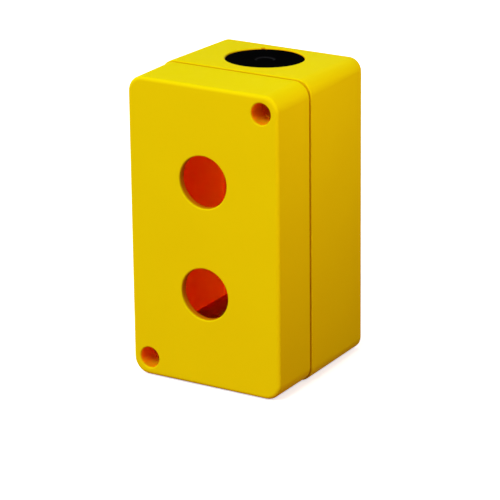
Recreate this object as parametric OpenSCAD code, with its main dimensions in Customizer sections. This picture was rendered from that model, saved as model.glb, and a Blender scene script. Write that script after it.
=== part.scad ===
// Two-hole pushbutton box: a moulded plastic enclosure for two 16 mm operators.
// The box stands upright with its front toward -Y. The origin is at the middle of the resting face.
// All sizes are in millimetres.

/* [Box] */
// Width of the box, left to right
box_w = 52; // [48:0.5:64]
// Height of the box
box_h = 94.5; // [90:0.5:120]
// Depth of the front cover, from the front face to the seam
cover_d = 19; // [18:0.5:26]
// Depth of the rear box, from the seam to the wall side
rear_d = 32.5; // [30:0.5:60]
// Radius of the four long corners
corner_r = 5; // [4:0.25:6]
// How much the rear box narrows toward the wall, per millimetre of depth
draft = 0.03; // [0:0.005:0.035]
// How far the cover's sides stand in from the rear box
cover_step = 0.3; // [0.2:0.1:0.6]

/* [Walls] */
// Thickness of the front panel, which the operators clamp on
panel_t = 2.4; // [2:0.1:3]
// Thickness of the cover's side walls
cover_wall = 2.4; // [2:0.1:3]
// Thickness of the rear box's side walls
rear_wall = 2.8; // [2.4:0.1:3.2]
// Thickness of the rear box's back
back_t = 2.6; // [2:0.1:4]
// Radius of the rounding round the front face
front_edge_r = 1.2; // [0.6:0.1:2]

/* [Operator holes] */
// Diameter of each operator hole
hole_d = 16.2; // [16:0.1:17]
// Distance between the two operator holes
hole_pitch = 35; // [30:0.5:40]

/* [Cover screws] */
// Distance of each cover screw from the box's middle line, sideways
screw_x = 20; // [19:0.1:20.5]
// Distance of each cover screw from mid height
screw_z = 41.3; // [40:0.1:41.6]
// Diameter of the recess above each screw head
recess_d = 6.6; // [6.4:0.1:7]

/* [Cable entry] */
// Diameter of the grommet's flange
grommet_d = 24; // [22:0.5:25]
// Diameter of the hole that the grommet snaps into
entry_d = 20.4; // [19:0.1:20.6]
// Distance of the cable entry behind the front face
entry_from_front = 36.3; // [35.5:0.1:37]

/* [Wall mounting] */
// Diameter of the two holes for wall screws
wall_hole_d = 4.4; // [4:0.1:5]
// Distance of each wall hole from the box's middle line, sideways
wall_hole_x = 16.5; // [14:0.5:17]
// Distance of each wall hole from mid height
wall_hole_z = 37.5; // [32:0.5:38]

/* [Hidden] */
$fn = 96;

// Main planes
box_d = cover_d + rear_d;
front_y = -box_d / 2;
seam_y = front_y + cover_d;
back_y = box_d / 2;
mid_z = box_h / 2;
eps = 0.5; // how far a cut runs past the face that it opens

// Seam: the rear box's rim carries a groove with the gasket, and the cover's tongue presses on it.
// Insets are measured inward from the rear box's outline at the seam.
groove_out = 1.5;
groove_in = 3.1;
groove_deep = 1.9;
gasket_t = 1.0;
tongue_play = 0.2;
rim_in = 4.3; // the rim bands reach this far in
rim_deep = 4;
shadow_gap = 0.7;
shadow_deep = 0.7;
seam_edge_r = 0.25; // rounding of the two outer edges along the seam

// Rear box
back_edge_r = 1;
post_r = 5;
insert_r = 2.1;
insert_len = 6;
insert_sunk = 0.3;
pocket_deep = 7;
pilot_r = 1.7;
pilot_deep = 12;
boss_r = 4.75;
boss_t = 1.6;

// Cover
column_r = 5.2;
mouth_r = 0.4; // rounding round the mouth of every hole that shows
recess_step_deep = 6.8;
recess_deep = 15;
head_seat_r = 3.0;
shank_play_r = 1.7;
rib_t = 1.6;
rib_deep = 3;

// Cover screw, M3 with a pan head
head_r = 2.8;
head_h = 2.4;
head_dome = 0.7;
shank_r = 1.45;
shank_len = 12;
drive_w = 0.7;
drive_span = 3.0;
drive_deep = 1.3;
seal_t = 1.0;
seal_r = 2.6;

// Cable entry
entry_y = front_y + entry_from_front;
entry_tilt = atan(draft);
entry_z = box_h - draft * (entry_y - seam_y); // the wall's outer face at the entry
grommet_sunk = 0.4;
flange_t = 1.3;
seat_deep = grommet_sunk + flange_t;
entry_boss_r = 14;
entry_wall = rear_wall + 1.4; // wall and boss together
seat_play = 0.1;
tab_angle = 123; // the locating tab, counted from +X toward the back
tab_w = 1.0;
tab_out = 0.6;
tab_play = 0.1;
bead_r = 11;
bead_h = 1.4;
bore_r = 8.6;
membrane_t = 1.2;
dimple_r = 3.2;
dimple_deep = 0.4;

yellow = [0.86, 0.73, 0.02];
black = [0.06, 0.06, 0.07];
steel = [0.72, 0.72, 0.74];
brass = [0.78, 0.62, 0.3];

// Rounded rectangle drawn round the middle
module outline(w, h, r) {
    square([w - 2 * r, h], center = true);
    square([w, h - 2 * r], center = true);
    for (x = [-1, 1], z = [-1, 1])
        translate([x * (w / 2 - r), z * (h / 2 - r)]) circle(r);
}

// Straight block with the box's outline, moved in by inset, from depth y0 to depth y1
module block(inset, y0, y1) {
    translate([0, y1, mid_z])
        rotate([90, 0, 0])
            linear_extrude(y1 - y0)
                outline(box_w - 2 * inset, box_h - 2 * inset, max(corner_r - inset, 0.8));
}

// Ring between two insets
module ring(inset_out, inset_in, y0, y1) {
    difference() {
        block(inset_out, y0, y1);
        block(inset_in, y0 - eps, y1 + eps);
    }
}

// Disc along Y from y = 0 to y = len, with a rounded rim at each end
module puck(r, edge, len, far_edge) {
    near = [for (a = [0:15:90]) [r - edge + edge * sin(a), edge - edge * cos(a)]];
    far = [for (a = [0:30:90]) [r - far_edge + far_edge * cos(a), len - far_edge + far_edge * sin(a)]];
    rotate([-90, 0, 0])
        rotate_extrude($fn = 32)
            polygon(concat([[0, 0]], near, far, [[0, len]]));
}

// Round bar along Y from depth y0 to depth y1 at a place on the front
module bar(x, z, r, y0, y1) {
    translate([x, y0, z]) rotate([-90, 0, 0]) cylinder(r = r, h = y1 - y0);
}

// Cutter that rounds the mouth of a round hole going down from z = 0
module mouth(r) {
    curve = [for (a = [0:22.5:90]) [r + mouth_r - mouth_r * sin(a), mouth_r * cos(a) - mouth_r]];
    rotate_extrude() polygon(concat([[0, eps], [r + mouth_r, eps]], curve, [[0, -mouth_r]]));
}

// Rounded mouth at a place on the front face
module front_mouth(x, z, r) {
    translate([x, front_y, z]) rotate([90, 0, 0]) mouth(r);
}

// Puts its children at the upper right screw, or turned half round at the lower left one
module at_screw(side) {
    translate([side * screw_x, 0, mid_z + side * screw_z]) children();
}

// Puts its children at the cable entry, with z = 0 on the wall's outer face
module at_entry() {
    translate([0, entry_y, entry_z]) rotate([-entry_tilt, 0, 0]) children();
}

// Outer body of the cover, with its front edges rounded. It stops short of the seam by the shadow gap.
module cover_skin() {
    half_w = box_w / 2 - cover_step - corner_r;
    half_h = box_h / 2 - cover_step - corner_r;
    hull()
        for (x = [-1, 1], z = [-1, 1])
            translate([x * half_w, front_y, mid_z + z * half_h])
                puck(corner_r, front_edge_r, cover_d - shadow_gap, seam_edge_r);
}

// Outer body of the rear box. Its top and sides narrow toward the wall, and its corners grow tighter there.
module rear_skin() {
    half_w = box_w / 2 - corner_r;
    half_h = box_h / 2 - corner_r;
    in = draft * rear_d;
    hull()
        for (x = [-1, 1], z = [-1, 1]) {
            drop = z > 0 ? 0 : in;
            translate([x * half_w, seam_y, mid_z + z * half_h])
                puck(corner_r, seam_edge_r, 1, 0.01);
            translate([x * half_w, back_y, mid_z + z * half_h - drop])
                rotate([0, 0, 180])
                    puck(corner_r - in, back_edge_r, 1, 0.01);
        }
}

// Hole through the front panel
module operator_hole(z) {
    bar(0, z, hole_d / 2, front_y - eps, front_y + panel_t + eps);
    front_mouth(0, z, hole_d / 2);
}

// Recess for a screw head, stepped half way down, and the hole for its shank
module screw_way() {
    bar(0, 0, recess_d / 2, front_y - eps, front_y + recess_step_deep);
    bar(0, 0, head_seat_r, front_y, front_y + recess_deep);
    bar(0, 0, shank_play_r, front_y, seam_y + eps);
    front_mouth(0, 0, recess_d / 2);
}

// Stiffening ribs under the front panel, above, between and below the operator holes
module panel_ribs() {
    inner_w = box_w - 2 * (cover_step + cover_wall) + 1;
    for (z = [-1, 0, 1])
        translate([-inner_w / 2, front_y + 1, mid_z + z * hole_pitch * 0.86 - rib_t / 2])
            cube([inner_w, panel_t - 1 + rib_deep, rib_t]);
}

module front_cover() {
    inner = cover_step + cover_wall;
    color(yellow)
        difference() {
            union() {
                difference() {
                    cover_skin();
                    block(inner, front_y + panel_t, seam_y + eps);
                }
                ring(cover_step + shadow_deep, rim_in, seam_y - rim_deep, seam_y);
                ring(groove_out + tongue_play, groove_in - tongue_play,
                     seam_y - 1, seam_y + groove_deep - gasket_t);
                for (side = [-1, 1])
                    at_screw(side) bar(0, 0, column_r, front_y + 1, seam_y);
                panel_ribs();
            }
            for (z = [-1, 1]) operator_hole(mid_z + z * hole_pitch / 2);
            for (side = [-1, 1]) at_screw(side) screw_way();
        }
}

// Pocket for a threaded insert and the clearance below it
module insert_pocket() {
    bar(0, 0, insert_r, seam_y - eps, seam_y + pocket_deep);
    bar(0, 0, pilot_r, seam_y, seam_y + pilot_deep);
}

// Puts its children at both wall holes, which use the corners that the screws leave free
module at_wall_holes() {
    for (side = [-1, 1])
        translate([-side * wall_hole_x, 0, mid_z + side * wall_hole_z]) children();
}

// Seat of the grommet: a counterbore with a notch for the tab, and the hole below it
module entry_cut() {
    translate([0, 0, -seat_deep]) cylinder(r = grommet_d / 2 + seat_play, h = seat_deep + 2);
    mouth(grommet_d / 2 + seat_play);
    translate([0, 0, -entry_wall - 2]) cylinder(d = entry_d, h = entry_wall + 3);
    rotate([0, 0, tab_angle])
        translate([0, -tab_w / 2 - tab_play, -seat_deep])
            cube([grommet_d / 2 + tab_out + tab_play, tab_w + 2 * tab_play, seat_deep + 2]);
}

module rear_box() {
    color(yellow)
        difference() {
            union() {
                difference() {
                    rear_skin();
                    block(rear_wall, seam_y - eps, back_y - back_t);
                }
                ring(rear_wall - 0.5, rim_in, seam_y, seam_y + rim_deep);
                for (side = [-1, 1])
                    at_screw(side) bar(0, 0, post_r, seam_y, back_y - 1);
                at_wall_holes() bar(0, 0, boss_r, back_y - back_t - boss_t, back_y - 1);
                at_entry() translate([0, 0, -entry_wall]) cylinder(r = entry_boss_r, h = entry_wall - 1);
            }
            ring(groove_out, groove_in, seam_y - eps, seam_y + groove_deep);
            for (side = [-1, 1]) at_screw(side) insert_pocket();
            at_wall_holes() bar(0, 0, wall_hole_d / 2, back_y - back_t - boss_t - eps, back_y + eps);
            at_entry() entry_cut();
        }
}

module cover_gasket() {
    color(black)
        ring(groove_out, groove_in, seam_y + groove_deep - gasket_t, seam_y + groove_deep);
}

// Round rubber grommet: flange, neck, snap bead and a thin membrane with a dimple to pierce
module cable_grommet() {
    top = -grommet_sunk;
    under = -seat_deep;
    inside = -entry_wall;
    outer = grommet_d / 2;
    neck = entry_d / 2;
    profile = [
        [0, top - dimple_deep], [dimple_r - 0.3, top - dimple_deep], [dimple_r, top],
        [outer - 0.3, top], [outer, top - 0.3], [outer, under],
        [neck, under], [neck, inside], [bead_r, inside - 0.2],
        [bead_r, inside - 0.6], [neck - 0.3, inside - bead_h], [bore_r, inside - bead_h],
        [bore_r, top - membrane_t - 0.6], [bore_r - 0.6, top - membrane_t], [0, top - membrane_t],
    ];
    color(black)
        at_entry() {
            rotate_extrude() polygon(profile);
            rotate([0, 0, tab_angle])
                translate([outer - 0.8, -tab_w / 2, under])
                    cube([0.8 + tab_out, tab_w, flange_t - 0.1]);
        }
}

// Screw with a domed pan head and a cross recess
module cover_screw(side) {
    under = front_y + recess_deep - seal_t;
    top = under - head_h;
    flank = head_h - head_dome;
    dome = [for (a = [0:15:90]) [head_r - 0.9 + 0.9 * sin(a), flank + head_dome * cos(a)]];
    color(steel)
        at_screw(side)
            difference() {
                union() {
                    translate([0, under, 0])
                        rotate([90, 0, 0])
                            rotate_extrude()
                                polygon(concat([[0, 0], [0, head_h]], dome, [[head_r, 0]]));
                    bar(0, 0, shank_r, under - 0.1, under + shank_len - 0.8);
                    translate([0, under + shank_len - 0.8, 0])
                        rotate([-90, 0, 0])
                            cylinder(r1 = shank_r, r2 = shank_r - 0.5, h = 0.8);
                }
                for (turn = [0, 90])
                    rotate([0, turn, 0])
                        translate([-drive_span / 2, top - eps, -drive_w / 2])
                            cube([drive_span, drive_deep + eps, drive_w]);
            }
}

// Rubber ring under a screw head
module screw_seal(side) {
    under = front_y + recess_deep;
    color(black)
        at_screw(side)
            translate([0, under, 0])
                rotate([90, 0, 0])
                    rotate_extrude()
                        translate([(seal_r + shank_r + 0.05) / 2, seal_t / 2])
                            square([seal_r - shank_r - 0.05, seal_t], center = true);
}

// Brass insert with a waist between its two gripping bands
module threaded_insert(side) {
    band = insert_len * 0.36;
    waist_r = insert_r - 0.3;
    bore = shank_r + 0.05;
    lead = 0.3;
    profile = [
        [bore + lead, 0], [insert_r, 0], [insert_r, band], [waist_r, band + lead],
        [waist_r, insert_len - band - lead], [insert_r, insert_len - band],
        [insert_r, insert_len], [bore, insert_len], [bore, lead],
    ];
    color(brass)
        at_screw(side)
            translate([0, seam_y + insert_sunk, 0])
                rotate([-90, 0, 0])
                    rotate_extrude() polygon(profile);
}

rear_box();
front_cover();
cover_gasket();
cable_grommet();
cover_screw(1);  // upper_cover_screw
cover_screw(-1);  // lower_cover_screw
screw_seal(1);  // upper_screw_seal
screw_seal(-1);  // lower_screw_seal
threaded_insert(1);  // upper_threaded_insert
threaded_insert(-1);  // lower_threaded_insert
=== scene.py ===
"""Looks of the pushbutton box: finish of the moulded shells, detailed rubber, steel and brass pieces."""
import math

import bmesh
import bpy
from mathutils import Matrix, Quaternion, Vector


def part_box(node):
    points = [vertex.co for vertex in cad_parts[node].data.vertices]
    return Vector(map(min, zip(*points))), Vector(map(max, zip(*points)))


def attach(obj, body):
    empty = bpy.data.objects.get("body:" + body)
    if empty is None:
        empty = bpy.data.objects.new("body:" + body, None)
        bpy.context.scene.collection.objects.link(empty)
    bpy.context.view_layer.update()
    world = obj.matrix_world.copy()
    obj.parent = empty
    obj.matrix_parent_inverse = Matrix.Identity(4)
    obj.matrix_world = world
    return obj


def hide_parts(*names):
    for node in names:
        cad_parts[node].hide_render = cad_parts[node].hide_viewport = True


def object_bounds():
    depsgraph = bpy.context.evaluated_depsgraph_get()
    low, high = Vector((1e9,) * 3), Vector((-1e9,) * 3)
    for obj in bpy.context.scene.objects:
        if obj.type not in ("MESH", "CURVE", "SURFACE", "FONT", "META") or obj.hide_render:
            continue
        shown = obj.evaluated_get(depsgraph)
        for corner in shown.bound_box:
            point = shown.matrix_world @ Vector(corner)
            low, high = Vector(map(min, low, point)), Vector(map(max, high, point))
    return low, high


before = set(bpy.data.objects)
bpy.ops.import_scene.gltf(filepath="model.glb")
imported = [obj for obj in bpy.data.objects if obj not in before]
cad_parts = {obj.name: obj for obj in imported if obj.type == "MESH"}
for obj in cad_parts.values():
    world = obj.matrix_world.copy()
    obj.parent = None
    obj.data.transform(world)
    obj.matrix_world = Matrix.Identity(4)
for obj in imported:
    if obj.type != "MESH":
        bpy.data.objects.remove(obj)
cad_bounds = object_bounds()

MM = 0.001
TURN = 2 * math.pi
SQUARE = ((-1, -1), (1, -1), (1, 1), (-1, 1))  # corners in order
OUTWARD = Matrix.Rotation(TURN / 4, 4, "X")  # turns a piece's own z axis toward the front

# The box, from the frame
BOX_LOW, BOX_HIGH = cad_bounds
BOX_MIDDLE = (BOX_LOW + BOX_HIGH) / 2
BOX_HALF = (BOX_HIGH - BOX_LOW) / 2

# Camera, from a camera model fitted to the photograph's outline
CAMERA_AT = Vector((429.89, -709.21, 327.33)) * MM
CAMERA_AIM = Vector((2.124, -2.829, 37.229)) * MM
CAMERA_ROLL = math.radians(-0.643)
CAMERA_LENS = 208.42
CAMERA_SENSOR = 36.0
CAMERA_NEAR = 0.01
CAMERA_FAR = 20.0

# Colours, linear
WHITE = (1.0, 1.0, 1.0)
YELLOW = (0.80, 0.67, 0.001)
YELLOW_DEEP = (0.79, 0.65, 0.001)
# painted shade, darkening crevices such as the seam
YELLOW_PAINTED_CREVICE_SHADE = (0.68, 0.42, 0.001)
# painted glow: the inside is painted red for light coming through the walls
YELLOW_PAINTED_GLOW = (0.99, 0.30, 0.001)
# painted shade: red-brown, on the walls of the operator holes
YELLOW_PAINTED_HOLE_SHADE = (0.70, 0.20, 0.001)
RUBBER_DARK = (0.7, 0.7, 0.8)  # both are times the rubber's tone
RUBBER_LIGHT = (1.5, 1.5, 1.7)
# painted highlight: paler ring on the lip of the grommet's dimple
RUBBER_PAINTED_HIGHLIGHT = (0.014, 0.014, 0.016)
STEEL = (0.72, 0.72, 0.74)
BRASS = (0.78, 0.58, 0.26)
TARNISHED = 0.82  # share of a metal's colour that is left
FLOOR_PALE = (0.8, 0.8, 0.8)
FLOOR_BOUNCE = (0.32, 0.03, 0.01)
LAMP_WARM = (1.0, 0.83, 0.70)
LAMP_COOL = (0.92, 1.0, 1.0)

# Finish of the plastic. A pair says where a change begins and where it is complete.
INSIDE_DEPTH = (0.1 * MM, 1.1 * MM)  # below the skin, where its colour turns into the inside's painted glow and painted shade
GLOW_DEPTH = (0.2 * MM, 0.8 * MM)  # where light begins to come through the plastic
REACH_DEPTH = (0.8 * MM, 1.6 * MM)  # where that light's reach grows from short to long
PANEL_DEPTH = (2.2 * MM, 2.5 * MM)  # where the front panel ends
RECESS_EDGE = (3.4 * MM, 3.8 * MM)  # from a screw's axis, just outside its recess
HOLE_EDGE = (8.7 * MM, 9.0 * MM)  # from an operator hole's axis, just outside its wall
SHORT_REACH = 3.0 * MM
LONG_REACH = 15.0 * MM
COLOUR_REACH = (1.5, 0.40, 0.05)  # red light goes furthest
# painted shade in crevices: distance within which nearby surfaces darken a spot
CREVICE_SHADE_REACH = 1.2 * MM
CREVICE_SHADE_OPEN = (0.45, 0.85)  # share of open sky where the painted shade in crevices is full, and where there is none
EDGE_ROUND = 0.25 * MM

# Studio
AMBIENT = 0.1
LAMP_AIM = Vector((0, 0, 0.045))
FLOOR_HALF = 4.0
FLOOR_GAP = 0.05 * MM
FLOOR_NEAR = 0.12
FLOOR_FAR = 0.45
FLOOR_LIFT = 0.62  # glow nearer than FLOOR_NEAR, so that the object's shadow shows there

# Sizes of the box and its detailed pieces, in metres, matching the CAD model
CORNER_R = 5.0 * MM
HOLE_PITCH = 35.0 * MM
DRAFT = 0.03  # how much the rear box narrows for each unit of depth
SKIN_INSET = 0.8 * MM  # how far inside the box's full outline its skin is taken to be
SCREW_FACETS = 40
SCREW_LENGTH = 12 * MM
SCREW_TIP_R = 0.85 * MM
SCREW_TIP_RISE = 0.35 * MM
SCREW_HEAD_H = 2.4 * MM
SCREW_FLANK = 1.2 * MM
SCREW_EDGE = 0.25 * MM
SCREW_SHOULDER = 0.1 * MM
SCREW_DOME = 0.55  # power that flattens the dome of the pan head
NECK_R = 1.25 * MM
NECK_LENGTH = 1.6 * MM
NECK_FILLET = 0.15 * MM
THREAD_PITCH = 0.5 * MM
THREAD_MAJOR = 1.45 * MM
THREAD_MINOR = 1.20 * MM
THREAD_START = 0.5 * MM  # from the tip
THREAD_END = 0.3 * MM  # short of the neck
THREAD_POINTS = 6  # for each turn of a screw's thread
BORE_POINTS = 4  # for each turn of an insert's thread
DRIVE_SPAN = 3.1 * MM
DRIVE_WIDTH = 0.78 * MM
DRIVE_DEPTH = 1.5 * MM
DRIVE_END_SPAN = 0.45  # share of the span that is left at the bottom
DRIVE_END_WIDTH = 0.55
DRIVE_OVER = 0.2 * MM  # how far the cutting tool stands over the head
SEAL_FACETS = 48
SEAL_IN = 1.5 * MM
SEAL_THICK = 1.0 * MM
SEAL_ROUND = 0.3 * MM
INSERT_BORE = 1.5 * MM
INSERT_GROOVE = 0.16 * MM
INSERT_BAND = 2.16 * MM
INSERT_WAIST = 0.3 * MM
INSERT_LEAD = 0.3 * MM
KNURL_TEETH = 22
KNURL_POINTS = 4  # for each tooth
KNURL_DEPTH = 0.14 * MM
KNURL_SLANT = 0.5  # teeth for each millimetre of height
GASKET_WIDTH = 1.6 * MM
GASKET_THICK = 1.0 * MM
GASKET_CORNER = 2.7 * MM
GASKET_ROUND = 0.45 * MM
ENTRY_AT = Vector((0, 10.55, 93.981)) * MM  # on the top wall, which slopes with the draft
ENTRY_TILT = math.atan(DRAFT)
GROMMET_FACETS = 96
GROMMET_R = 12.0 * MM
GROMMET_SUNK = 0.4 * MM
GROMMET_FLANGE = 1.3 * MM
GROMMET_LIP = 0.35 * MM
GROMMET_NECK = 10.2 * MM
GROMMET_WALL = 4.2 * MM
GROMMET_BEAD = 11.0 * MM
GROMMET_BORE = 8.6 * MM
GROMMET_MEMBRANE = 1.2 * MM
GROMMET_HOLLOW = 0.6 * MM
DIMPLE_R = 3.2 * MM
DIMPLE_DEEP = 0.4 * MM
# painted highlight on the lip of the grommet's dimple
LIP_HIGHLIGHT_R = 2.8 * MM
LIP_HIGHLIGHT_WIDTH = 0.5 * MM
TAB_ANGLE = math.radians(123)
TAB_WIDTH = 1.0 * MM
TAB_OUT = 0.6 * MM
TAB_ROOT = 1.4 * MM
TAB_HEIGHT = GROMMET_FLANGE - 0.1 * MM
TAB_EDGE = 0.15 * MM

# Meshes
WELD_GAP = 1e-7
SMOOTH_ANGLE = math.radians(28)


def colour(rgb, share=1.0):
    """A colour as a node's socket takes it, with full alpha. share dims it."""
    return (*(share * c for c in rgb), 1.0)


# Helpers for shader nodes

class Shader:
    """Node tree of a material or a world, with short calls that add nodes and link them."""

    def __init__(self, owner, output):
        self.owner = owner
        owner.use_nodes = True
        self.tree = owner.node_tree
        self.tree.nodes.clear()
        self.output = self.add(output)

    def add(self, kind, inputs=(), **settings):
        """A node. An input takes another node's output or a plain value."""
        node = self.tree.nodes.new(kind)
        for name, value in settings.items():
            setattr(node, name, value)
        for name, value in dict(inputs).items():
            if isinstance(value, bpy.types.NodeSocket):
                self.tree.links.new(value, node.inputs[name])
            else:
                node.inputs[name].default_value = value
        return node

    def place(self):
        """Position on the object, in metres."""
        return self.add("ShaderNodeTexCoord").outputs["Object"]

    def seen_directly(self):
        """1 for the camera's rays and those in a mirror or glass, and 0 for rays that carry light."""
        path = self.add("ShaderNodeLightPath").outputs
        open_view = self.math("MAXIMUM", path["Is Camera Ray"], path["Is Glossy Ray"])
        return self.math("MAXIMUM", open_view, path["Is Transmission Ray"])

    def math(self, operation, first, second=0.0):
        return self.add("ShaderNodeMath", {0: first, 1: second}, operation=operation).outputs[0]

    def vector(self, operation, first, second=(0, 0, 0), output="Vector"):
        node = self.add("ShaderNodeVectorMath", {0: first, 1: second}, operation=operation)
        return node.outputs[output]

    def noise(self, scale, detail=2.0, roughness=0.5, at=None):
        """Cloudy pattern from 0 to 1, finer with a larger scale."""
        inputs = {"Vector": at or self.place(), "Scale": scale, "Detail": detail, "Roughness": roughness}
        return self.add("ShaderNodeTexNoise", inputs).outputs["Fac"]

    def span(self, value, low, high, to_low=0.0, to_high=1.0):
        """Turns the range from low to high into the range from to_low to to_high, held at both ends."""
        inputs = {"Value": value, "From Min": low, "From Max": high, "To Min": to_low, "To Max": to_high}
        return self.add("ShaderNodeMapRange", inputs).outputs["Result"]

    def blend(self, factor, first, second):
        """Mix of two colours. The node's colour sockets share their names, so they go by number."""
        inputs = {"Factor": factor, 6: first, 7: second}
        return self.add("ShaderNodeMix", inputs, data_type="RGBA").outputs[2]

    def bump(self, height, distance, strength, normal=None):
        """Surface direction for fine relief, on top of another direction if one is given."""
        inputs = {"Height": height, "Distance": distance, "Strength": strength}
        if normal:
            inputs["Normal"] = normal
        return self.add("ShaderNodeBump", inputs).outputs["Normal"]

    def principled(self, inputs):
        return self.add("ShaderNodeBsdfPrincipled", inputs).outputs["BSDF"]

    def mix(self, factor, first, second):
        """Mix of two shaders."""
        return self.add("ShaderNodeMixShader", {0: factor, 1: first, 2: second}).outputs[0]

    def finish(self, shader):
        """Makes the shader the result of the tree, and gives back the material or world."""
        self.tree.links.new(shader, self.output.inputs["Surface"])
        return self.owner


def new_material(name):
    """Empty node tree of a new material."""
    return Shader(bpy.data.materials.new(name), "ShaderNodeOutputMaterial")


# Distances that the plastic's finish is worked out from

def from_middle(s):
    """Position counted from the middle of the box."""
    return s.vector("SUBTRACT", s.place(), BOX_MIDDLE)


def axis_distance(s, spot, axis):
    """Distance of a spot from an axis that runs from front to rear."""
    gap = s.vector("MULTIPLY", s.vector("SUBTRACT", spot, axis), (1, 0, 1))
    return s.vector("LENGTH", gap, output="Value")


def skin_depth(s):
    """How far a point lies below the box's skin.

    Because of the draft, the depth at the sides is counted from SKIN_INSET inside the full outline.
    """
    away = s.vector("ABSOLUTE", from_middle(s))
    core = BOX_HALF - Vector((CORNER_R, 0, CORNER_R))
    beyond = axis_distance(s, s.vector("MAXIMUM", away, core), core)
    across = s.math("SUBTRACT", CORNER_R - SKIN_INSET, beyond)
    y = s.add("ShaderNodeSeparateXYZ", {"Vector": away}).outputs["Y"]
    return s.math("MINIMUM", across, s.math("SUBTRACT", BOX_HALF.y, y))


def screw_distance(s):
    """Distance from the nearer cover screw's axis. The two lie opposite each other round the middle."""
    low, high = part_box("upper_cover_screw")
    axis = (low + high) / 2 - BOX_MIDDLE
    spot = from_middle(s)
    return s.math("MINIMUM", axis_distance(s, spot, axis), axis_distance(s, spot, -axis))


def hole_distance(s):
    """Distance from the nearer operator hole's axis. The two lie one above the other in the front."""
    away = s.vector("ABSOLUTE", from_middle(s))
    return axis_distance(s, away, (0, 0, HOLE_PITCH / 2))


# Materials

def light_reach(s, depth):
    """How far light travels in the plastic: far inside the box, little near the skin and in a recess."""
    thick = s.span(depth, *REACH_DEPTH, SHORT_REACH, LONG_REACH)
    recess = s.span(screw_distance(s), *RECESS_EDGE, SHORT_REACH, LONG_REACH)
    return s.math("MINIMUM", thick, recess)


def off_hole_walls(s, depth):
    """0 on the walls of the operator holes, which get painted shade and no glow, and 1 elsewhere inside.
    """
    past_panel = s.span(depth, *PANEL_DEPTH)
    beside = s.span(hole_distance(s), *HOLE_EDGE)
    return s.math("MAXIMUM", past_panel, beside)


def plastic_skin(s):
    """Colour of the outside: slightly cloudy yellow, with painted shade that darkens crevices such as the
    seam.
    """
    cloud = s.span(s.noise(scale=45.0, detail=3.0), 0.3, 0.7)
    clean = s.blend(cloud, colour(YELLOW), colour(YELLOW_DEEP))
    open_sky = s.add("ShaderNodeAmbientOcclusion", {"Distance": CREVICE_SHADE_REACH}, samples=8).outputs["AO"]
    # painted shade: crevices such as the seam are darkened where little open sky is found
    crevice_shade = s.span(open_sky, *CREVICE_SHADE_OPEN, 1.0, 0.0)
    return s.blend(crevice_shade, clean, colour(YELLOW_PAINTED_CREVICE_SHADE))


def yellow_plastic():
    """Moulded yellow plastic with a satin grain. Inside the box the colour is a painted red glow, for
    light that comes through the walls, and subsurface light carries it further; the walls of the operator
    holes get painted red-brown shade.
    """
    s = new_material("yellow_plastic")
    depth = skin_depth(s)
    off_walls = off_hole_walls(s, depth)
    # painted glow inside the box, and painted red-brown shade on the walls of the operator holes
    painted_inside = s.blend(off_walls, colour(YELLOW_PAINTED_HOLE_SHADE), colour(YELLOW_PAINTED_GLOW))
    soft_edges = s.add("ShaderNodeBevel", {"Radius": EDGE_ROUND}, samples=6).outputs["Normal"]
    grain = s.noise(scale=3200.0, roughness=0.6)
    polish = s.noise(scale=160.0)
    return s.finish(s.principled({
        "Base Color": s.blend(s.span(depth, *INSIDE_DEPTH), plastic_skin(s), painted_inside),
        "Roughness": s.span(polish, 0.3, 0.7, 0.44, 0.52),
        "Normal": s.bump(grain, distance=0.02 * MM, strength=0.35, normal=soft_edges),
        "IOR": 1.45,
        "Specular IOR Level": 0.004,
        "Subsurface Weight": s.math("MINIMUM", s.span(depth, *GLOW_DEPTH), off_walls),
        "Subsurface Radius": COLOUR_REACH,
        "Subsurface Scale": light_reach(s, depth),
    }))


def ring_mask(s, centre, radius, width):
    """1 on a ring round an upright axis, fading to 0 beside it."""
    across = s.vector("MULTIPLY", s.vector("SUBTRACT", s.place(), centre), (1, 1, 0))
    off = s.math("SUBTRACT", s.vector("LENGTH", across, output="Value"), radius)
    return s.span(s.math("ABSOLUTE", off), 0.0, width, 1.0, 0.0)


def rubber(name, tone, rough, highlight_ring=None):
    """Black rubber with a fine matte grain and a faint bloom.

    The last argument is a ring that gets a paler painted highlight, as (centre, radius, width).
    """
    s = new_material(name)
    bloom = s.span(s.noise(scale=120.0, detail=4.0), 0.35, 0.75)
    base = s.blend(bloom, colour(RUBBER_DARK, tone), colour(RUBBER_LIGHT, tone))
    if highlight_ring:
        # painted highlight: a paler ring
        base = s.blend(ring_mask(s, *highlight_ring), base, colour(RUBBER_PAINTED_HIGHLIGHT))
    return s.finish(s.principled({
        "Base Color": base,
        "Roughness": s.span(bloom, 0.0, 1.0, rough - 0.06, rough + 0.06),
        "Normal": s.bump(s.noise(scale=2200.0), distance=0.03 * MM, strength=0.5),
        "Specular IOR Level": 0.0,
    }))


def metal(name, rgb, rough):
    """Plated or turned metal: fine marks across the axis, as turning leaves them, and slight tarnish."""
    s = new_material(name)
    tarnish = s.span(s.noise(scale=700.0, detail=4.0), 0.35, 0.7)
    finer_along_y = s.vector("MULTIPLY", s.place(), (1.0, 6.0, 1.0))
    marks = s.noise(scale=900.0, detail=3.0, at=finer_along_y)
    return s.finish(s.principled({
        "Base Color": s.blend(tarnish, colour(rgb), colour(rgb, TARNISHED)),
        "Metallic": 1.0,
        "Roughness": s.span(tarnish, 0.0, 1.0, rough, rough + 0.12),
        "Normal": s.bump(marks, distance=0.01 * MM, strength=0.4),
    }))


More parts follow.
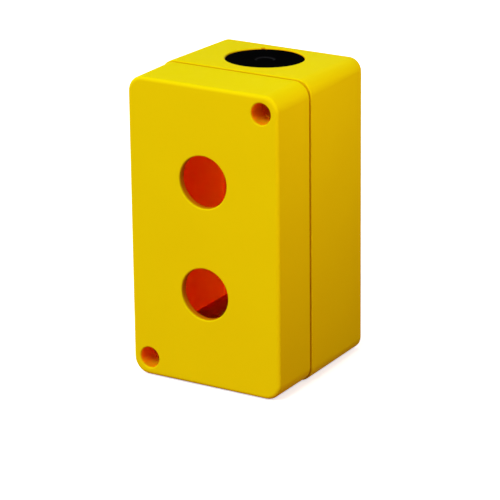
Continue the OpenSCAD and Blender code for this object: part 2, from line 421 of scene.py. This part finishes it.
def floor_paint():
    """Pale floor. The camera sees it white with the object's shadow. It throws a little warm light up."""
    s = new_material("floor_paint")
    pale = s.add("ShaderNodeBsdfDiffuse", {"Color": colour(FLOOR_PALE)}).outputs[0]
    away = s.vector("LENGTH", s.place(), output="Value")
    lift = s.span(away, FLOOR_NEAR, FLOOR_FAR, FLOOR_LIFT, 1.0)
    glow = s.add("ShaderNodeEmission", {"Color": colour(WHITE), "Strength": lift}).outputs[0]
    white = s.add("ShaderNodeAddShader", {0: pale, 1: glow}).outputs[0]
    bounce = s.add("ShaderNodeBsdfDiffuse", {"Color": colour(FLOOR_BOUNCE)}).outputs[0]
    return s.finish(s.mix(s.seen_directly(), bounce, white))


# Helpers for meshes

def new_object(name, bm, material):
    """Turns a bmesh into a named object with outward faces."""
    bmesh.ops.remove_doubles(bm, verts=bm.verts, dist=WELD_GAP)
    bmesh.ops.recalc_face_normals(bm, faces=bm.faces)
    mesh = bpy.data.meshes.new(name)
    bm.to_mesh(mesh)
    bm.free()
    mesh.materials.append(material)
    piece = bpy.data.objects.new(name, mesh)
    bpy.context.scene.collection.objects.link(piece)
    return piece


def smooth_group(angle):
    """Node group that welds a mesh and shades it smooth, apart from edges sharper than the angle."""
    group = bpy.data.node_groups.new("smooth_by_angle", "GeometryNodeTree")
    group.interface.new_socket("Geometry", in_out="INPUT", socket_type="NodeSocketGeometry")
    group.interface.new_socket("Geometry", in_out="OUTPUT", socket_type="NodeSocketGeometry")
    nodes, links = group.nodes, group.links
    source = nodes.new("NodeGroupInput")
    weld = nodes.new("GeometryNodeMergeByDistance")
    weld.inputs["Distance"].default_value = 2 * WELD_GAP
    faces = nodes.new("GeometryNodeSetShadeSmooth")
    faces.domain = "FACE"
    edges = nodes.new("GeometryNodeSetShadeSmooth")
    edges.domain = "EDGE"
    bend = nodes.new("GeometryNodeInputMeshEdgeAngle")
    soft = nodes.new("FunctionNodeCompare")
    soft.data_type = "FLOAT"
    soft.operation = "LESS_THAN"
    soft.inputs[1].default_value = angle
    sink = nodes.new("NodeGroupOutput")
    links.new(source.outputs[0], weld.inputs["Geometry"])
    links.new(weld.outputs["Geometry"], faces.inputs["Geometry"])
    links.new(faces.outputs["Geometry"], edges.inputs["Geometry"])
    links.new(bend.outputs["Unsigned Angle"], soft.inputs[0])
    links.new(soft.outputs["Result"], edges.inputs["Shade Smooth"])
    links.new(edges.outputs["Geometry"], sink.inputs[0])
    return group


SMOOTH = smooth_group(SMOOTH_ANGLE)


def shade(piece):
    """Smooth shading with crisp edges."""
    weld = piece.modifiers.new("smooth", "NODES")
    weld.node_group = SMOOTH
    normals = piece.modifiers.new("flat_faces", "WEIGHTED_NORMAL")
    normals.keep_sharp = True


def dress(piece, body, node):
    """Shades a new piece and lets it stand for a CAD node on its body."""
    shade(piece)
    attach(piece, body)
    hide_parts(node)


def paint(node, material):
    """Gives a CAD node its finish and smooth shading."""
    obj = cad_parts[node]
    obj.data.materials.clear()
    obj.data.materials.append(material)
    shade(obj)


def arc(centre, radius, first, last, steps):
    """Points on an arc, angles in degrees."""
    angles = [math.radians(first + (last - first) * i / steps) for i in range(steps + 1)]
    return [(centre[0] + radius * math.cos(a), centre[1] + radius * math.sin(a)) for a in angles]


def turned(name, profile, steps, material, place, ripple=None, closed=False):
    """Piece turned round its own z axis from (radius, height) points.

    ripple gives a point's radius from its angle, radius and height. closed joins the profile's ends.
    """
    bm = bmesh.new()
    rings = []
    for radius, height in profile:
        if radius == 0:
            rings.append([bm.verts.new((0, 0, height))])
            continue
        ring = []
        for step in range(steps):
            angle = TURN * step / steps
            r = ripple(angle, radius, height) if ripple else radius
            ring.append(bm.verts.new((r * math.cos(angle), r * math.sin(angle), height)))
        rings.append(ring)
    pairs = list(zip(rings, rings[1:]))
    if closed:
        pairs.append((rings[-1], rings[0]))
    for low, high in pairs:
        for step in range(steps):
            after = (step + 1) % steps
            if len(low) == 1:
                bm.faces.new((low[0], high[step], high[after]))
            elif len(high) == 1:
                bm.faces.new((low[step], low[after], high[0]))
            else:
                bm.faces.new((low[step], low[after], high[after], high[step]))
    bmesh.ops.transform(bm, matrix=place, verts=bm.verts)
    return new_object(name, bm, material)


def combine(piece, tool, operation):
    """Cuts tool out of a piece, or joins it on, and deletes the tool."""
    change = piece.modifiers.new("change", "BOOLEAN")
    change.operation = operation
    change.object = tool
    change.solver = "EXACT"
    graph = bpy.context.evaluated_depsgraph_get()
    mesh = bpy.data.meshes.new_from_object(piece.evaluated_get(graph))
    piece.modifiers.clear()
    piece.data = mesh
    mesh.name = piece.name
    bpy.data.objects.remove(tool)


def round_node(node):
    """Middle in x and z, front, rear and radius of a round CAD node."""
    low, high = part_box(node)
    return (low.x + high.x) / 2, (low.z + high.z) / 2, low.y, high.y, (high.x - low.x) / 2


def facing_front(x, y, z):
    """Place of a turned piece whose own z axis points to the front."""
    return Matrix.Translation((x, y, z)) @ OUTWARD


# Detailed pieces

def thread(angle, height, low, high):
    """Radius of a right-hand thread between two radii. Its ridge is cut off flat at both."""
    peak = 1.35
    slope = 3.4
    phase = (height / THREAD_PITCH - angle / TURN) % 1.0
    ridge = min(1.0, max(0.0, peak - slope * abs(phase - 0.5)))
    return low + (high - low) * ridge


def shank_profile():
    """Half section of a cover screw from its tip up to its head."""
    tip = -SCREW_LENGTH
    first = tip + THREAD_START
    last = -NECK_LENGTH - THREAD_END
    count = round((last - first) / THREAD_PITCH * THREAD_POINTS)
    profile = [(0, tip), (SCREW_TIP_R, tip), (THREAD_MINOR, tip + SCREW_TIP_RISE)]
    profile += [(THREAD_MAJOR, first + (last - first) * i / count) for i in range(count + 1)]
    profile += [(NECK_R, -NECK_LENGTH), (NECK_R, -NECK_FILLET), (NECK_R + NECK_FILLET, 0)]
    return profile


def head_profile(head_r):
    """Half section of a pan head: rounded lower edge, straight flank and dome."""
    profile = arc((head_r - SCREW_EDGE, SCREW_EDGE), SCREW_EDGE, -90, 0, steps=3)
    profile.append((head_r, SCREW_FLANK - SCREW_SHOULDER))
    rise = SCREW_HEAD_H - SCREW_FLANK
    for degrees in range(15, 90, 15):
        turn = math.radians(degrees)
        profile.append((head_r * math.cos(turn) ** SCREW_DOME, SCREW_FLANK + rise * math.sin(turn)))
    profile.append((0, SCREW_HEAD_H))
    return profile


def drive_bar(turn, place, material):
    """Tapered bar that cuts one arm of the cross recess down into a screw's head."""
    top = (SCREW_HEAD_H + DRIVE_OVER, DRIVE_SPAN, DRIVE_WIDTH)
    bottom = (SCREW_HEAD_H - DRIVE_DEPTH, DRIVE_END_SPAN * DRIVE_SPAN, DRIVE_END_WIDTH * DRIVE_WIDTH)
    bm = bmesh.new()
    corners = []
    for level, span, width in (top, bottom):
        for x, y in SQUARE:
            spot = Vector((x * span / 2, y * width / 2, level))
            corners.append(bm.verts.new(Matrix.Rotation(turn, 3, "Z") @ spot))
    for quad in ((3, 2, 1, 0), (4, 5, 6, 7), (0, 1, 5, 4), (1, 2, 6, 5), (2, 3, 7, 6), (3, 0, 4, 7)):
        bm.faces.new([corners[i] for i in quad])
    bmesh.ops.transform(bm, matrix=place, verts=bm.verts)
    return new_object("drive_tool", bm, material)


def cover_screw(which, material):
    """Pan head with a cross recess, a plain neck and a rolled thread."""
    node = which + "_cover_screw"
    x, z, front, _, head_r = round_node(node)
    place = facing_front(x, front + SCREW_HEAD_H, z)

    def ripple(angle, radius, height):
        if radius != THREAD_MAJOR:
            return radius
        return thread(angle, height, THREAD_MINOR, THREAD_MAJOR)

    profile = shank_profile() + head_profile(head_r)
    screw = turned("cover_screw_" + which, profile, SCREW_FACETS, material, place, ripple)
    for turn in (0, TURN / 4):
        combine(screw, drive_bar(turn, place, material), "DIFFERENCE")
    dress(screw, node, node)


def screw_seal(which, material):
    """Rubber ring with round edges under a screw head."""
    node = which + "_screw_seal"
    x, z, _, rear, outer = round_node(node)
    near = SEAL_IN + SEAL_ROUND
    far = outer - SEAL_ROUND
    top = SEAL_THICK - SEAL_ROUND
    corners = (((near, SEAL_ROUND), 270), ((near, top), 180), ((far, top), 90), ((far, SEAL_ROUND), 0))
    profile = []
    for centre, first in corners:
        profile += arc(centre, SEAL_ROUND, first, first - 90, steps=3)
    place = facing_front(x, rear, z)
    seal = turned("screw_seal_" + which, profile, SEAL_FACETS, material, place, closed=True)
    dress(seal, node, node)


def insert_profile(outer, length):
    """Closed half section of an insert: two bands and a waist outside, a bore with leads inside."""
    waist = outer - INSERT_WAIST
    flat = INSERT_BAND - INSERT_LEAD
    band_steps = 6
    profile = []
    for start in (0, length - INSERT_BAND):
        profile.append((waist, start))
        for i in range(band_steps + 1):
            profile.append((outer, start + INSERT_LEAD / 2 + flat * i / band_steps))
        profile.append((waist, start + INSERT_BAND))
    bore = length - 2 * INSERT_LEAD
    bore_steps = round(length / THREAD_PITCH * BORE_POINTS) - 2
    profile.append((INSERT_BORE + INSERT_LEAD, length))
    for i in range(bore_steps + 1):
        profile.append((INSERT_BORE, length - INSERT_LEAD - bore * i / bore_steps))
    profile.append((INSERT_BORE + INSERT_LEAD, 0))
    return profile


def threaded_insert(which, material):
    """Brass insert: two bands of slanted knurling, a waist between them and a threaded bore."""
    node = which + "_threaded_insert"
    x, z, front, rear, outer = round_node(node)

    def ripple(angle, radius, height):
        if radius == outer:
            tooth = (KNURL_TEETH * angle / TURN + height / MM * KNURL_SLANT) % 1.0
            return outer - KNURL_DEPTH * abs(2 * tooth - 1)
        if radius == INSERT_BORE:
            return thread(angle, height, INSERT_BORE, INSERT_BORE + INSERT_GROOVE)
        return radius

    profile = insert_profile(outer, rear - front)
    facets = KNURL_TEETH * KNURL_POINTS
    place = facing_front(x, rear, z)
    insert = turned("threaded_insert_" + which, profile, facets, material, place, ripple, closed=True)
    dress(insert, "rear_box", node)


def gasket_path(half_w, half_h):
    """Points round the rim's groove, each with the angle that points outward there."""
    corner_steps = 8
    path = []
    for x, z, first in ((1, 1, 0), (-1, 1, 90), (-1, -1, 180), (1, -1, 270)):
        centre = (x * (half_w - GASKET_CORNER), z * (half_h - GASKET_CORNER))
        points = arc(centre, GASKET_CORNER, first, first + 90, corner_steps)
        angles = [math.radians(first + 90 * i / corner_steps) for i in range(corner_steps + 1)]
        path += zip(points, angles)
    return path


def gasket_section():
    """Section of the cord as (outward, up) points, with a round back."""
    half = GASKET_WIDTH / 2
    top = GASKET_THICK - GASKET_ROUND
    section = [(-half, 0.0), (half, 0.0)]
    section += arc((half - GASKET_ROUND, top), GASKET_ROUND, 0, 90, steps=4)
    section += arc((GASKET_ROUND - half, top), GASKET_ROUND, 90, 180, steps=4)
    return section


def rim_gasket(material):
    """Rubber cord laid in the rim's groove, with a round back that the cover's tongue presses on."""
    low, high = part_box("cover_gasket")
    middle_z = (high.z + low.z) / 2
    path = gasket_path((high.x - low.x - GASKET_WIDTH) / 2, (high.z - low.z - GASKET_WIDTH) / 2)
    section = gasket_section()
    bm = bmesh.new()
    rings = []
    for (path_x, path_z), turn in path:
        ring = []
        for outward, up in section:
            x = path_x + outward * math.cos(turn)
            z = middle_z + path_z + outward * math.sin(turn)
            ring.append(bm.verts.new((x, high.y - up, z)))
        rings.append(ring)
    for ring, after in zip(rings, rings[1:] + rings[:1]):
        for i in range(len(section)):
            j = (i + 1) % len(section)
            bm.faces.new((ring[i], ring[j], after[j], after[i]))
    gasket = new_object("rim_gasket", bm, material)
    dress(gasket, "rear_box", "cover_gasket")


def snap_bead(wall):
    """Half section of the grommet behind the wall: out over the bead that holds it, and in to its bore.

    Each point is a radius and how far it lies past the wall.
    """
    points = (
        (GROMMET_NECK, 0.0),
        (GROMMET_BEAD - 0.1 * MM, 0.15 * MM),
        (GROMMET_BEAD, 0.3 * MM),
        (GROMMET_BEAD, 0.6 * MM),
        (GROMMET_BEAD - 0.15 * MM, 0.75 * MM),
        (GROMMET_NECK - 0.3 * MM, 1.35 * MM),
        (GROMMET_NECK - 0.5 * MM, 1.4 * MM),
        (GROMMET_BORE + 0.1 * MM, 1.4 * MM),
        (GROMMET_BORE, 1.3 * MM),
    )
    return [(radius, wall - past) for radius, past in points]


def grommet_tab(place, under, material):
    """Locating tab on the flange's rim, as a block with soft edges that is joined on."""
    span = TAB_ROOT + TAB_OUT
    middle = (GROMMET_R + TAB_OUT - span / 2, 0, under + TAB_HEIGHT / 2)
    bm = bmesh.new()
    bmesh.ops.create_cube(bm, size=1.0)
    bmesh.ops.scale(bm, vec=(span, TAB_WIDTH, TAB_HEIGHT), verts=bm.verts)
    bmesh.ops.translate(bm, vec=middle, verts=bm.verts)
    bmesh.ops.bevel(bm, geom=list(bm.edges), offset=TAB_EDGE, segments=2, profile=0.5, affect="EDGES")
    bmesh.ops.transform(bm, matrix=place @ Matrix.Rotation(TAB_ANGLE, 4, "Z"), verts=bm.verts)
    return new_object("tab_tool", bm, material)


def entry_grommet(material):
    """Rubber grommet: flange with a locating tab, neck, snap bead and a membrane with a dimple."""
    place = Matrix.Translation(ENTRY_AT) @ Matrix.Rotation(-ENTRY_TILT, 4, "X")
    top = -GROMMET_SUNK
    under = top - GROMMET_FLANGE
    fillet = GROMMET_LIP / 2
    ceiling = top - GROMMET_MEMBRANE
    hollow = (GROMMET_BORE - GROMMET_HOLLOW, ceiling - GROMMET_HOLLOW)
    profile = [(0, top - DIMPLE_DEEP)]
    profile += arc((DIMPLE_R - GROMMET_LIP, top - DIMPLE_DEEP + fillet), fillet, 270, 360, steps=3)
    profile += arc((DIMPLE_R + fillet, top - fillet), fillet, 180, 90, steps=3)
    profile += arc((GROMMET_R - GROMMET_LIP, top - GROMMET_LIP), GROMMET_LIP, 90, 0, steps=4)
    profile += [(GROMMET_R, under), (GROMMET_NECK, under)]
    profile += snap_bead(-GROMMET_WALL)
    profile += arc(hollow, GROMMET_HOLLOW, 0, 90, steps=4)
    profile += [(0, ceiling)]
    plug = turned("entry_grommet", profile, GROMMET_FACETS, material, place)
    combine(plug, grommet_tab(place, under, material), "UNION")
    dress(plug, "rear_box", "cable_grommet")


# Studio

def add_floor():
    """Large plain floor just under the object."""
    bm = bmesh.new()
    corners = [bm.verts.new((x * FLOOR_HALF, y * FLOOR_HALF, -FLOOR_GAP)) for x, y in SQUARE]
    bm.faces.new(corners)
    floor = new_object("studio_floor", bm, floor_paint())


def add_lamp(name, at, size, watts, tint=WHITE):
    """Square lamp that points at the object."""
    data = bpy.data.lights.new(name, "AREA")
    data.shape = "SQUARE"
    data.size = size
    data.energy = watts
    data.color = tint
    lamp = bpy.data.objects.new(name, data)
    lamp.location = at
    lamp.rotation_euler = (LAMP_AIM - Vector(at)).to_track_quat("-Z", "Y").to_euler()
    bpy.context.scene.collection.objects.link(lamp)


def add_world():
    """Even ambient light. The camera and mirror reflections see white."""
    s = Shader(bpy.data.worlds.new("studio"), "ShaderNodeOutputWorld")
    soft = s.add("ShaderNodeBackground", {"Color": colour(WHITE), "Strength": AMBIENT}).outputs[0]
    white = s.add("ShaderNodeBackground", {"Color": colour(WHITE), "Strength": 1.0}).outputs[0]
    bpy.context.scene.world = s.finish(s.mix(s.seen_directly(), soft, white))


def add_camera():
    """Camera at the photograph's viewing angle."""
    data = bpy.data.cameras.new("camera")
    data.lens = CAMERA_LENS
    data.sensor_width = CAMERA_SENSOR
    data.clip_start = CAMERA_NEAR
    data.clip_end = CAMERA_FAR
    camera = bpy.data.objects.new("camera", data)
    level = (CAMERA_AIM - CAMERA_AT).to_track_quat("-Z", "Y")
    turn = level @ Quaternion((0, 0, 1), CAMERA_ROLL)
    camera.matrix_world = Matrix.Translation(CAMERA_AT) @ turn.to_matrix().to_4x4()
    bpy.context.scene.collection.objects.link(camera)
    bpy.context.scene.camera = camera


bpy.context.scene.view_settings.view_transform = "Standard"
add_camera()
add_floor()
add_world()
add_lamp("key", at=(-0.50, -1.50, 0.55), size=0.9, watts=8.4)
add_lamp("front_high", at=(0.00, -1.00, 1.20), size=0.6, watts=14.6)
add_lamp("top_left", at=(-0.60, 0.00, 0.60), size=0.4, watts=2.5, tint=LAMP_COOL)
add_lamp("side", at=(0.30, -0.10, 0.12), size=0.10, watts=0.185, tint=LAMP_WARM)
add_lamp("side_close", at=(0.16, 0.02, 0.13), size=0.08, watts=0.080, tint=LAMP_WARM)
add_lamp("side_top", at=(0.10, -0.01, 0.12), size=0.06, watts=0.012, tint=LAMP_WARM)
add_lamp("back", at=(-0.20, 1.10, 0.15), size=0.3, watts=4.0)
add_lamp("back_left", at=(-0.88, 0.25, 0.12), size=0.2, watts=3.0)

plastic = yellow_plastic()
# painted highlight on the lip of the grommet's dimple
lip_highlight = (ENTRY_AT, LIP_HIGHLIGHT_R, LIP_HIGHLIGHT_WIDTH)
black_rubber = rubber("grommet_rubber", tone=0.0012, rough=0.55, highlight_ring=lip_highlight)
soft_rubber = rubber("gasket_rubber", tone=0.02, rough=0.8)
steel = metal("screw_steel", STEEL, rough=0.28)
brass = metal("insert_brass", BRASS, rough=0.30)

paint("rear_box", plastic)
paint("front_cover", plastic)
entry_grommet(black_rubber)
rim_gasket(soft_rubber)
for which in ("upper", "lower"):
    cover_screw(which, steel)
    screw_seal(which, soft_rubber)
    threaded_insert(which, brass)
